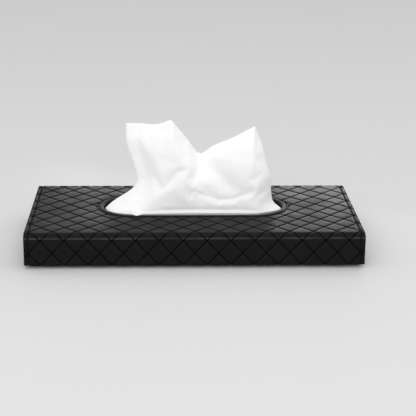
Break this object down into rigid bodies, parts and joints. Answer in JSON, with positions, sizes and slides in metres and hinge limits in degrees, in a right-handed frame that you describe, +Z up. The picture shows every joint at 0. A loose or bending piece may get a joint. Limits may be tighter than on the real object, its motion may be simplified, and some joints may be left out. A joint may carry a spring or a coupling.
{
  "type": "car tissue holder",
  "caption": "Flat quilted leather case with an oval opening and a hinged back flap, holding a pack of tissues with one drawn up.",
  "frame": {"origin": "bottom centre of the bounding box, on the surface that the case rests on", "axes": "+X along the long side to the right as seen from the front, +Y to the back flap, +Z up out of the opening"},
  "size_m": [0.235, 0.12, 0.0933],
  "materials": {
    "leather": "black imitation leather, fine grain, low sheen",
    "lining": "black matt lining",
    "board": "grey board",
    "thread": "black sewing thread",
    "elastic": "black woven elastic",
    "steel": "plated, bright",
    "tissue": "soft white tissue paper"
  },
  "bodies": {
    "case": {"outer_cover": "leather", "inner_lining": "lining", "top_board": "board", "front_board": "board", "bottom_board": "board", "left_gusset": "leather", "right_gusset": "leather", "opening_edge_band": "leather", "opening_stitching": "thread", "left_edge_stitching": "thread", "right_edge_stitching": "thread", "left_visor_strap": "elastic", "right_visor_strap": "elastic", "left_strap_front_stitching": "thread", "left_strap_back_stitching": "thread", "right_strap_front_stitching": "thread", "right_strap_back_stitching": "thread", "left_strike_disc": "steel", "right_strike_disc": "steel", "tissue_stack": "tissue"},
    "back_flap": {"back_cover": "leather", "back_board": "board", "back_lining": "lining", "left_flap_stitching": "thread", "right_flap_stitching": "thread"},
    "flap_lip": {"lip_cover": "leather", "left_lip_magnet": "steel", "right_lip_magnet": "steel", "lip_stitching": "thread"},
    "pulled_tissue": {"tissue_sheet": "tissue"}
  },
  "joints": [
    {"name": "flap_hinge", "type": "hinge", "parent": "case", "child": "back_flap", "pos_m": [0, 0.05912, 0.02422], "axis": [1, 0, 0], "range_deg": [0, 170]},
    {"name": "lip_hinge", "type": "hinge", "parent": "back_flap", "child": "flap_lip", "pos_m": [0, 0.05912, 0.00088], "axis": [1, 0, 0], "range_deg": [0, 110]},
    {"name": "tissue_pull", "type": "slide", "parent": "case", "child": "pulled_tissue", "axis": [0, 0, 1], "range_m": [0, 0.1]}
  ]
}
